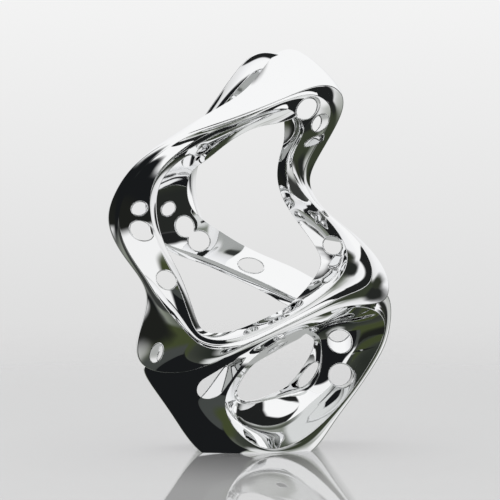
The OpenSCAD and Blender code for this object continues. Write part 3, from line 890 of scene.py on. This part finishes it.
@dataclass
class Ring:
    """The spiral ring that the loop stands on, with its funnel-shaped throat and its foot.

    Its fields are the widths of its holes and of the foot's recesses, the circle that the screws
    stand on, and the heights of the recesses' upper ends, all in millimetres.
    """

    wall_width: float = 31.0
    throat_width: float = 40.0
    top_width: float = 28.0
    drop_width: float = 27.0
    plate_width: float = 58.4
    collar_width: float = 27.4
    bush_width: float = 18.4
    screw_width: float = 4.2
    screw_circle: float = 44.0
    plate_top: float = 6.0
    collar_top: float = 9.0
    screw_top: float = 13.4
    bush_top: float = 28.2

    def recess(self) -> list[Ground | Disc]:
        """The flat under the foot, and room for the pad, plate, bush with its collar and screws.

        Returns:
            The block under the ground and the round recesses.
        """
        angles = [math.radians(90 * (i + 0.5)) for i in range(4)]
        radius = self.screw_circle / 2
        screws = [
            Disc(self.screw_width, self.screw_top, (radius * math.cos(a), radius * math.sin(a)))
            for a in angles
        ]
        return [
            Ground(), Disc(self.plate_width, self.plate_top),
            Disc(self.collar_width, self.collar_top), Disc(self.bush_width, self.bush_top), *screws,
        ]

    def sections(self) -> list[Section]:
        """The ring's five sections, let into the loop where it rests on them.

        Returns:
            The sections, from the right shoulder round the foot to the top.
        """
        shoulder = [Bore((85, -10, 107), self.wall_width, 1, 0, 0, 20, 1)]
        right = [
            Bore((86, -15, 75), self.wall_width, 1, 0, 0, -5, 1),
            Bore((54, 10, 73), self.throat_width, 0.36, -53, 0, -5, 1),
        ]
        left = [DropBore((-42, -45, 68), self.drop_width, 1, -42, 24, -16, 1)]
        top = [Bore((22, -8, 106), self.top_width, 0.4, -25, 0, 60, 0.2)]
        rows = [
            ("ring_shoulder", 0, 3.5, [Length(LOOP, 18, 21), *shoulder]),
            ("ring_right", 3.5, 6, right),
            ("ring_foot", 6, 9.75, self.recess()),
            ("ring_left", 9.75, 13.5, [Length(LOOP, 13, 17), *left]),
            ("ring_top", 13.5, 17, [Length(LOOP, 15, 20), *top]),
        ]
        return [
            Section(node, Length(RING, start, end), cuts + [Pin(RING, start), Pin(RING, end)])
            for node, start, end, cuts in rows
        ]


class ViewRay(Enum):
    """Which rays a light path node tells apart."""

    CAMERA = "Is Camera Ray"
    GLOSSY = "Is Glossy Ray"
    DIFFUSE = "Is Diffuse Ray"


class Nodes:
    """A short way to add and join nodes in one tree."""

    def __init__(self, tree: bpy.types.NodeTree) -> None:
        """Keeps the tree and empties it."""
        self.tree = tree
        tree.nodes.clear()

    def add(self, kind: str, inputs: dict | None = None, **settings: object) -> bpy.types.Node:
        """Adds a node.

        Args:
            kind: The node's type name.
            inputs: Socket names or numbers, with values or sockets to join.
            settings: Attributes of the node.

        Returns:
            The node.
        """
        node = self.tree.nodes.new(kind)
        for name, value in settings.items():
            setattr(node, name, value)
        for name, value in (inputs or {}).items():
            self.put(node.inputs[name], value)
        return node

    def put(self, socket: bpy.types.NodeSocket, value: object) -> None:
        """Joins a socket or sets its value.

        Args:
            socket: The input socket.
            value: An output socket to join to it, or the value that it takes.
        """
        if isinstance(value, bpy.types.NodeSocket):
            self.tree.links.new(value, socket)
        else:
            socket.default_value = value

    def math(self, operation: str, first: object, second: object = 0.0) -> bpy.types.NodeSocket:
        """Adds a Math node.

        Args:
            operation: What it does with its two values.
            first: Its first value or socket.
            second: Its second value or socket.

        Returns:
            Its result's socket.
        """
        node = self.add("ShaderNodeMath", {0: first, 1: second}, operation=operation)
        return node.outputs[0]

    def spread(
        self, value: object, low: float, high: float, to_low: float = 0.0, to_high: float = 1.0,
        smooth: bool = True,
    ) -> bpy.types.NodeSocket:
        """Adds a Map Range node, smooth at both ends unless asked otherwise.

        Args:
            value: The socket to map.
            low: Value that becomes to_low.
            high: Value that becomes to_high.
            to_low: First end of the result.
            to_high: Second end of the result.
            smooth: Whether the result eases in and out.

        Returns:
            Its result's socket.
        """
        node = self.add(
            "ShaderNodeMapRange",
            {"Value": value, "From Min": low, "From Max": high, "To Min": to_low, "To Max": to_high},
            interpolation_type="SMOOTHSTEP" if smooth else "LINEAR",
        )
        return node.outputs["Result"]

    def blend(self, share: object, first: object, second: object) -> bpy.types.NodeSocket:
        """Adds a colour Mix node, whose colour sockets are inputs 6 and 7 and output 2.

        Args:
            share: Share of the second colour.
            first: Its first colour or socket.
            second: Its second colour or socket.

        Returns:
            Its result's socket.
        """
        node = self.add("ShaderNodeMix", data_type="RGBA")
        self.put(node.inputs[0], share)
        self.put(node.inputs[6], first)
        self.put(node.inputs[7], second)
        return node.outputs[2]

    def layer(
        self, share: object, first: bpy.types.Node, second: bpy.types.Node
    ) -> bpy.types.Node:
        """A Mix Shader node over two shader nodes."""
        return self.add("ShaderNodeMixShader", {0: share, 1: first.outputs[0], 2: second.outputs[0]})

    def finish(self, shader: bpy.types.Node, kind: str = "ShaderNodeOutputMaterial") -> None:
        """Joins a shader node to a new output node."""
        self.put(self.add(kind).inputs["Surface"], shader.outputs[0])


def new_group(name: str, inputs: dict, outputs: dict) -> tuple[bpy.types.NodeTree, Nodes]:
    """Makes a shader node group with named sockets.

    Args:
        name: The group's name.
        inputs: Socket names with their types and first values.
        outputs: Socket names with their types.

    Returns:
        The group and its node helper.
    """
    tree = bpy.data.node_groups.new(name, "ShaderNodeTree")
    nodes = Nodes(tree)
    for label, (kind, value) in inputs.items():
        socket = tree.interface.new_socket(label, in_out="INPUT", socket_type=kind)
        socket.default_value = value
    for label, kind in outputs.items():
        tree.interface.new_socket(label, in_out="OUTPUT", socket_type=kind)
    return tree, nodes


def new_material(name: str) -> tuple[bpy.types.Material, Nodes]:
    """Makes a material with an empty node tree.

    Args:
        name: The material's name.

    Returns:
        The material and its node helper.
    """
    material = bpy.data.materials.new(name)
    material.use_nodes = True
    return material, Nodes(material.node_tree)


def stage_sheet(name: str, corners: list, material: bpy.types.Material) -> bpy.types.Object:
    """Makes a four-cornered sheet that belongs to the stage.

    Args:
        name: The sheet's name.
        corners: Its four corners, anticlockwise.
        material: Its material.

    Returns:
        The sheet.
    """
    mesh = bpy.data.meshes.new(name)
    mesh.from_pydata([tuple(c) for c in corners], [], [(0, 1, 2, 3)])
    mesh.materials.append(material)
    sheet = bpy.data.objects.new(name, mesh)
    bpy.context.scene.collection.objects.link(sheet)
    return sheet


@dataclass(frozen=True)
class Card:
    """A soft-edged patch of the studio's surroundings, as the polished metal sees it.

    Attributes:
        azimuth: Degrees round from the camera's side, positive to the right.
        elevation: Degrees above the horizon.
        wide: Half width in degrees where the patch has faded out.
        core: Half width in degrees of its even middle.
        colour: Its colour.
    """

    azimuth: float
    elevation: float
    wide: float
    core: float
    colour: tuple

    def axis(self) -> tuple:
        """Direction of the patch.

        Returns:
            Unit vector from the sculpture to the middle of the patch.
        """
        turn, lift = math.radians(self.azimuth), math.radians(self.elevation)
        return (
            math.sin(turn) * math.cos(lift), -math.cos(turn) * math.cos(lift), math.sin(lift)
        )


# Base tone of the surroundings by the height of the direction, from straight down to straight up
HEIGHT_TONES = (
    (0.00, (0.020, 0.024, 0.020)),
    (0.14, (0.050, 0.056, 0.045)),
    (0.27, (0.22, 0.24, 0.20)),
    (0.42, (0.55, 0.56, 0.54)),
    (0.50, (0.78, 0.78, 0.78)),
    (0.66, (0.92, 0.92, 0.93)),
    (0.80, (1.00, 1.00, 1.00)),
    (1.00, (1.00, 1.00, 1.00)),
)
NIGHT = (0.010, 0.011, 0.012)
OLIVE = (0.055, 0.068, 0.028)
CARDS = (
    Card(170, -46, 54, 32, (0.42, 0.43, 0.42)),
    Card(22, -46, 28, 16, (0.76, 0.77, 0.76)),
    Card(95, -30, 44, 26, (0.040, 0.048, 0.030)),
    Card(80, 0, 28, 14, (0.020, 0.022, 0.020)),
    Card(108, 6, 20, 9, (0.030, 0.034, 0.024)),
    Card(-95, 8, 36, 24, NIGHT),
    Card(-100, 40, 22, 10, NIGHT),
    Card(-58, -27, 28, 18, OLIVE),
    Card(-126, -21, 20, 10, (0.040, 0.042, 0.040)),
    Card(-77, -8, 24, 12, (0.014, 0.015, 0.013)),
    Card(14, -10, 20, 10, (0.90, 0.90, 0.90)),
)


@dataclass(frozen=True)
class Panel:
    """An upright panel beside the sculpture, with soft edges, seen by the polished metal only.

    Attributes:
        name: Name of its object.
        azimuth: Degrees round from the camera's side, positive to the right.
        distance: Metres from the sculpture's axis.
        width: Its width.
        low: Height of its lower edge.
        high: Height of its upper edge.
        soft: Width of its soft edges.
        colour: Its colour.
    """

    name: str
    azimuth: float
    distance: float
    width: float
    low: float
    high: float
    soft: float
    colour: tuple

    def build(self) -> bpy.types.Object:
        """Places the panel and hides it from everything but mirrored rays.

        Returns:
            The panel.
        """
        turn = math.radians(self.azimuth)
        away = np.array([math.sin(turn), -math.cos(turn), 0.0]) * self.distance
        side = np.array([math.cos(turn), math.sin(turn), 0.0])
        half = self.width / 2
        left, right = away - side * half, away + side * half
        foot, head = np.array([0.0, 0.0, self.low]), np.array([0.0, 0.0, self.high])
        material, nodes = new_material(self.name)
        where = nodes.add("ShaderNodeTexCoord").outputs["Object"]
        across = nodes.add(
            "ShaderNodeVectorMath", {0: where, 1: tuple(side)}, operation="DOT_PRODUCT"
        ).outputs["Value"]
        height = nodes.add("ShaderNodeSeparateXYZ", {0: where}).outputs["Z"]
        sides = nodes.spread(nodes.math("ABSOLUTE", across), half, half - self.soft)
        lower = nodes.spread(height, self.low, self.low + self.soft)
        upper = nodes.spread(height, self.high, self.high - self.soft)
        mask = nodes.math("MULTIPLY", sides, nodes.math("MULTIPLY", lower, upper))
        clear = nodes.add("ShaderNodeBsdfTransparent")
        glow = nodes.add("ShaderNodeEmission", {"Color": (*self.colour, 1.0), "Strength": 1.0})
        nodes.finish(nodes.layer(mask, clear, glow))
        panel = stage_sheet(self.name, [left + foot, right + foot, right + head, left + head], material)
        panel.visible_camera = panel.visible_diffuse = panel.visible_shadow = False
        panel.visible_transmission = panel.visible_volume_scatter = False
        return panel


PANELS = (
    Panel("dark_panel_left", -27, 0.80, 0.66, -0.60, 0.40, 0.04, NIGHT),
    Panel("dark_panel_high", 56, 0.45, 0.50, 0.43, 1.10, 0.04, (0.015, 0.016, 0.016)),
    Panel("dark_panel_front", 12, 0.45, 0.56, 0.47, 1.30, 0.03, (0.015, 0.016, 0.016)),
    Panel("grey_panel_left", -50, 0.84, 0.26, -0.60, 0.22, 0.09, (0.060, 0.066, 0.062)),
    Panel("pale_reflector", -55, 0.27, 0.34, 0.154, 0.262, 0.02, (0.95, 0.95, 0.95)),
)


@dataclass
class Studio:
    """Floor, backdrop, soft light and camera.

    Attributes:
        floor_size: Width of the square floor in metres.
        floor_fade: Shares of its half width where it has faded out and where the fading starts.
        near_tone: Its colour near the sculpture.
        far_tone: Its colour further away.
        near_far: Distances in metres between which its colour and gloss change.
        gloss_shares: Share of gloss near the sculpture and further away.
        low_backdrop: Colour of the backdrop below.
        high_backdrop: Its colour from the horizon up.
        backdrop_fade: Heights of the direction between which it changes.
        matt_surroundings: Colour that matt surfaces take from the surroundings.
        wander: How far the surroundings' outlines wander.
        camera_distance: Metres from the camera to its aim.
        camera_elevation: Degrees of the camera above the horizon.
        aim: Point that the camera looks at, in metres.
        field_height: Height of the picture at the aim in metres.
    """

    floor_size: float = 3.2
    floor_fade: tuple = (0.95, 0.3)
    near_tone: tuple = (0.45, 0.45, 0.45, 1.0)
    far_tone: tuple = (0.55, 0.55, 0.55, 1.0)
    near_far: tuple = (0.05, 0.35)
    gloss_shares: tuple = (0.58, 0.40)
    low_backdrop: tuple = (0.637, 0.637, 0.637, 1.0)
    high_backdrop: tuple = (0.91, 0.91, 0.91, 1.0)
    backdrop_fade: tuple = (-0.17, 0.0)
    matt_surroundings: tuple = (0.8, 0.8, 0.8, 1.0)
    wander: float = 0.18
    camera_distance: float = 4.0
    camera_elevation: float = 5.0
    aim: tuple = (-0.0063, 0.0, 0.2526)
    field_height: float = 0.6323

    def surroundings(self, nodes: Nodes, direction: object) -> bpy.types.NodeSocket:
        """Colour of the surroundings in a direction: a tone by height, with soft cards over it.

        Args:
            nodes: Helper of the tree to build in.
            direction: Socket of the unit direction.

        Returns:
            The colour's socket.
        """
        noise = nodes.add("ShaderNodeTexNoise", {"Vector": direction, "Scale": 2.6, "Detail": 3.0})
        shift = nodes.add(
            "ShaderNodeVectorMath", {0: noise.outputs["Color"], 1: (0.5, 0.5, 0.5)},
            operation="SUBTRACT",
        )
        wander = nodes.add(
            "ShaderNodeVectorMath", {0: shift.outputs[0], "Scale": self.wander}, operation="SCALE"
        )
        bent = nodes.add(
            "ShaderNodeVectorMath", {0: direction, 1: wander.outputs[0]}, operation="ADD"
        )
        toward = nodes.add("ShaderNodeVectorMath", {0: bent.outputs[0]}, operation="NORMALIZE")
        height = nodes.add("ShaderNodeSeparateXYZ", {0: toward.outputs[0]}).outputs["Z"]
        ramp = nodes.add("ShaderNodeValToRGB", {0: nodes.spread(height, -1, 1, smooth=False)})
        tones = ramp.color_ramp.elements
        while len(tones) < len(HEIGHT_TONES):
            tones.new(0.5)
        # A ramp keeps its elements in order of place, so the colours wait for the places
        for element, (place, _) in zip(tones, HEIGHT_TONES):
            element.position = place
        for element, (_, tone) in zip(tones, HEIGHT_TONES):
            element.color = (*tone, 1.0)
        colour = ramp.outputs["Color"]
        for card in CARDS:
            along = nodes.add(
                "ShaderNodeVectorMath", {0: toward.outputs[0], 1: card.axis()},
                operation="DOT_PRODUCT",
            )
            mask = nodes.spread(
                along.outputs["Value"], math.cos(math.radians(card.wide)),
                math.cos(math.radians(card.core)),
            )
            colour = nodes.blend(mask, colour, (*card.colour, 1.0))
        return colour

    def world(self) -> None:
        """Builds the world: surroundings for the metal, a pale even backdrop for the camera."""
        world = bpy.data.worlds.new("studio")
        bpy.context.scene.world = world
        world.use_nodes = True
        nodes = Nodes(world.node_tree)
        direction = nodes.add("ShaderNodeTexCoord").outputs["Generated"]
        seen = self.surroundings(nodes, direction)
        height = nodes.add("ShaderNodeSeparateXYZ", {0: direction}).outputs["Z"]
        pale = nodes.blend(
            nodes.spread(height, *self.backdrop_fade, smooth=False), self.low_backdrop,
            self.high_backdrop,
        )
        path = nodes.add("ShaderNodeLightPath")
        colour = nodes.blend(path.outputs[ViewRay.CAMERA.value], seen, pale)
        soft = nodes.blend(path.outputs[ViewRay.DIFFUSE.value], colour, self.matt_surroundings)
        background = nodes.add("ShaderNodeBackground", {"Color": soft, "Strength": 1.0})
        nodes.finish(background, "ShaderNodeOutputWorld")

    def floor(self) -> bpy.types.Object:
        """A pale polished floor that mirrors the foot, keeps its shadow and fades out far away.

        It is clear to mirrored rays, so the metal sees the surroundings below the horizon.

        Returns:
            The floor.
        """
        half = self.floor_size / 2
        corners = [(-half, -half, 0), (half, -half, 0), (half, half, 0), (-half, half, 0)]
        material, nodes = new_material("pale_floor")
        where = nodes.add("ShaderNodeTexCoord").outputs["Object"]
        far = nodes.add("ShaderNodeVectorMath", {0: where}, operation="LENGTH").outputs["Value"]
        near = nodes.spread(far, half * self.floor_fade[0], half * self.floor_fade[1])
        clear = nodes.add("ShaderNodeBsdfTransparent")
        tone = nodes.blend(nodes.spread(far, *self.near_far), self.near_tone, self.far_tone)
        plain = nodes.add("ShaderNodeBsdfDiffuse", {"Color": tone})
        gloss = nodes.add("ShaderNodeBsdfGlossy", {"Color": (1, 1, 1, 1), "Roughness": 0.015})
        path = nodes.add("ShaderNodeLightPath")
        shown = nodes.layer(nodes.spread(far, *self.near_far, *self.gloss_shares), plain, gloss)
        away = nodes.math("SUBTRACT", 1.0, path.outputs[ViewRay.GLOSSY.value])
        nodes.finish(nodes.layer(nodes.math("MULTIPLY", near, away), clear, shown))
        return stage_sheet("studio_floor", corners, material)

    def lamps(self) -> None:
        """One wide soft lamp overhead, which gives the floor its shadow and isn't mirrored."""
        light = bpy.data.lights.new("overhead", "AREA")
        light.shape, light.size, light.size_y, light.energy = "RECTANGLE", 1.6, 1.2, 8.0
        lamp = bpy.data.objects.new("overhead", light)
        lamp.location = (0.0, 0.1, 1.8)
        lamp.visible_glossy = False
        bpy.context.scene.collection.objects.link(lamp)

    def camera(self) -> None:
        """A long lens, level with the photograph's view: five degrees above the horizon."""
        data = bpy.data.cameras.new("camera")
        data.sensor_fit, data.sensor_width, data.sensor_height = "AUTO", 36.0, 36.0
        data.angle = 2 * math.atan(self.field_height / 2 / self.camera_distance)
        data.clip_start, data.clip_end = 0.05, 50.0
        camera = bpy.data.objects.new("camera", data)
        lift = math.radians(self.camera_elevation)
        back = Vector((0.0, -math.cos(lift), math.sin(lift))) * self.camera_distance
        camera.location = Vector(self.aim) + back
        camera.rotation_euler = (-back).to_track_quat("-Z", "Y").to_euler()
        bpy.context.scene.collection.objects.link(camera)
        bpy.context.scene.camera = camera


# Part that the buffing lines have beside the smudges in the polish's mask
LINES_SHARE = 0.25
# Noise over which a smudge fades in
SMUDGE_NOISE = (0.45, 0.75)


def polish_group() -> bpy.types.NodeTree:
    """Group for hand-polished metal: soft smudges, faint buffing lines and a slight waviness.

    Returns:
        The group, with a smudge mask and a height out.
    """
    tree, nodes = new_group(
        "hand_polish",
        {"Vector": ("NodeSocketVector", (0, 0, 0)), "Smudge Scale": ("NodeSocketFloat", 18.0),
         "Wave Scale": ("NodeSocketFloat", 22.0)},
        {"Smudge": "NodeSocketFloat", "Height": "NodeSocketFloat"},
    )
    source = nodes.add("NodeGroupInput")
    smudge = nodes.add(
        "ShaderNodeTexNoise",
        {"Vector": source.outputs["Vector"], "Scale": source.outputs["Smudge Scale"],
         "Detail": 6.0, "Roughness": 0.6},
    )
    lines = nodes.add(
        "ShaderNodeTexNoise", {"Vector": source.outputs["Vector"], "Scale": 900.0, "Detail": 2.0}
    )
    wave = nodes.add(
        "ShaderNodeTexNoise",
        {"Vector": source.outputs["Vector"], "Scale": source.outputs["Wave Scale"], "Detail": 1.0},
    )
    mask = nodes.spread(smudge.outputs[0], *SMUDGE_NOISE)
    both = nodes.math("ADD", mask, nodes.math("MULTIPLY", lines.outputs[0], LINES_SHARE))
    sink = nodes.add("NodeGroupOutput")
    nodes.put(sink.inputs["Smudge"], both)
    nodes.put(sink.inputs["Height"], wave.outputs[0])
    return tree


@dataclass(frozen=True)
class MetalFinish:
    """A metal surface with its own colour, gloss and waviness.

    Attributes:
        name: Name of the material.
        colour: Colour of the bare metal.
        roughness: Roughness where it is clean.
        smudge_roughness: Roughness where it is smudged.
        wave_height: Height of its waves in metres.
        smudge_scale: Scale of the smudges' noise.
        wave_scale: Scale of the waves' noise.
    """

    name: str
    colour: tuple
    roughness: float
    smudge_roughness: float
    wave_height: float
    smudge_scale: float = 18.0
    wave_scale: float = 22.0

    def material(self, group: bpy.types.NodeTree) -> bpy.types.Material:
        """Builds the finish.

        Args:
            group: The hand-polish group.

        Returns:
            The material.
        """
        material, nodes = new_material(self.name)
        where = nodes.add("ShaderNodeTexCoord").outputs["Object"]
        polish = nodes.add("ShaderNodeGroup", node_tree=group)
        nodes.put(polish.inputs["Vector"], where)
        nodes.put(polish.inputs["Smudge Scale"], self.smudge_scale)
        nodes.put(polish.inputs["Wave Scale"], self.wave_scale)
        rough = nodes.spread(
            polish.outputs["Smudge"], 0.0, 1 + LINES_SHARE, self.roughness, self.smudge_roughness,
            smooth=False,
        )
        bump = nodes.add(
            "ShaderNodeBump",
            {"Height": polish.outputs["Height"], "Strength": 1.0, "Distance": self.wave_height},
        )
        shader = nodes.add(
            "ShaderNodeBsdfPrincipled",
            {"Base Color": (*self.colour, 1.0), "Metallic": 1.0, "Roughness": rough,
             "Normal": bump.outputs[0]},
        )
        nodes.finish(shader)
        return material


@dataclass(frozen=True)
class RubberFinish:
    """Matt black rubber with a fine grain.

    Attributes:
        name: Name of the material.
        colour: Its colour.
        grain_noise: Noise between which the grain goes from smooth to rough.
        roughness: Roughness of the smooth and of the rough grain.
        grain_height: Height of the grain in metres.
    """

    name: str = "pad_rubber"
    colour: tuple = (0.02, 0.02, 0.021)
    grain_noise: tuple = (0.3, 0.7)
    roughness: tuple = (0.7, 0.9)
    grain_height: float = 0.2 * MM

    def material(self) -> bpy.types.Material:
        """Builds the finish.

        Returns:
            The material.
        """
        material, nodes = new_material(self.name)
        where = nodes.add("ShaderNodeTexCoord").outputs["Object"]
        grain = nodes.add("ShaderNodeTexNoise", {"Vector": where, "Scale": 1600.0, "Detail": 3.0})
        bump = nodes.add(
            "ShaderNodeBump", {"Height": grain.outputs[0], "Strength": 0.4, "Distance": self.grain_height}
        )
        rough = nodes.spread(grain.outputs[0], *self.grain_noise, *self.roughness)
        shader = nodes.add(
            "ShaderNodeBsdfPrincipled",
            {"Base Color": (*self.colour, 1.0), "Roughness": rough, "Normal": bump.outputs[0]},
        )
        nodes.finish(shader)
        return material


MIRROR_STEEL = MetalFinish("mirror_steel", (0.92, 0.925, 0.93), 0.008, 0.035, 0.0003)
DOWEL_STEEL = MetalFinish("ground_steel", (0.55, 0.55, 0.56), 0.22, 0.35, 0.00002, 60.0, 300.0)
PLATE_STEEL = MetalFinish("plate_steel", (0.50, 0.50, 0.51), 0.28, 0.42, 0.00002, 50.0, 260.0)
BUSH_BRASS = MetalFinish("bush_brass", (0.78, 0.58, 0.28), 0.20, 0.34, 0.00002, 70.0, 300.0)


def dress_fixings(group: bpy.types.NodeTree) -> None:
    """Gives the CAD nodes that stay their finishes.

    Args:
        group: The hand-polish group.
    """
    steel, plate, brass = (f.material(group) for f in (DOWEL_STEEL, PLATE_STEEL, BUSH_BRASS))
    finishes = {
        "locating_dowels": steel, "plate_screws": steel, "foot_plate": plate,
        "plinth_bush": brass, "foot_pad": RubberFinish().material(),
    }
    for node, material in finishes.items():
        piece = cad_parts[node]
        piece.data.materials.clear()
        piece.data.materials.append(material)
        LOG.info("%s: dressed with %s", node, material.name)


def main() -> None:
    """Builds the studio and every section of the sculpture, and dresses what the CAD carries."""
    logging.basicConfig(level=logging.INFO, format="%(name)s %(message)s")
    bpy.context.scene.view_settings.view_transform = "Standard"
    studio = Studio()
    studio.camera()
    studio.world()
    studio.floor()
    studio.lamps()
    for panel in PANELS:
        panel.build()
    group = polish_group()
    steel = MIRROR_STEEL.material(group)
    for assembly in (Loop(), InnerRibbon(), RearLeg(), Ring()):
        for section in assembly.sections():
            piece = section.build()
            for slot in SLOTS:
                piece.data.materials[slot] = steel
            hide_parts(section.node)
            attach(piece, BODY)
            LOG.info("%s: %d faces", piece.name, len(piece.data.polygons))
    dress_fixings(group)


if __name__ == "__main__":
    main()
